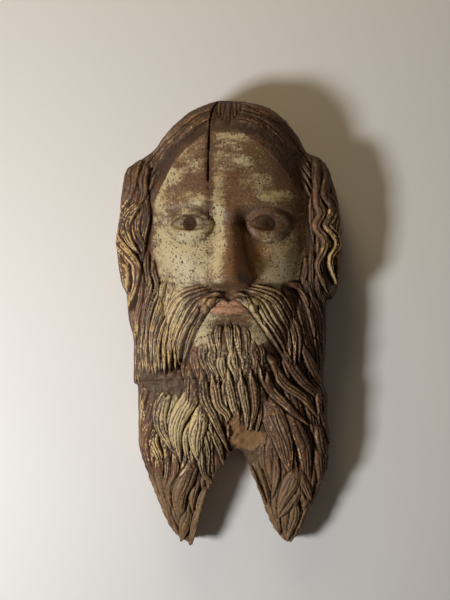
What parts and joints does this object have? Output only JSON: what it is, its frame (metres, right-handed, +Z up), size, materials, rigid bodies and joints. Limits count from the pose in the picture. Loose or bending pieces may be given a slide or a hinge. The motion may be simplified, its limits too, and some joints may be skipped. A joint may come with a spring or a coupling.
{
  "type": "ship figurehead",
  "caption": "Carved wooden relief head with long waved hair, drooping moustache and forked beard, on a flat back.",
  "frame": {"origin": "on the flat back, on the middle line of the head, halfway up the figure", "axes": "+Z up the figure to the crown, +Y into what it is fixed to, so the face looks along -Y, +X to the viewer's right"},
  "size_m": [0.2273, 0.1157, 0.4414],
  "materials": {
    "painted_wood": "worn matt paint over carved wood",
    "weathered_wood": "weathered wood with traces of paint"
  },
  "bodies": {
    "root": {"head_block": "painted_wood", "beard_block": "weathered_wood", "beard_side_board": "weathered_wood"}
  },
  "joints": []
}
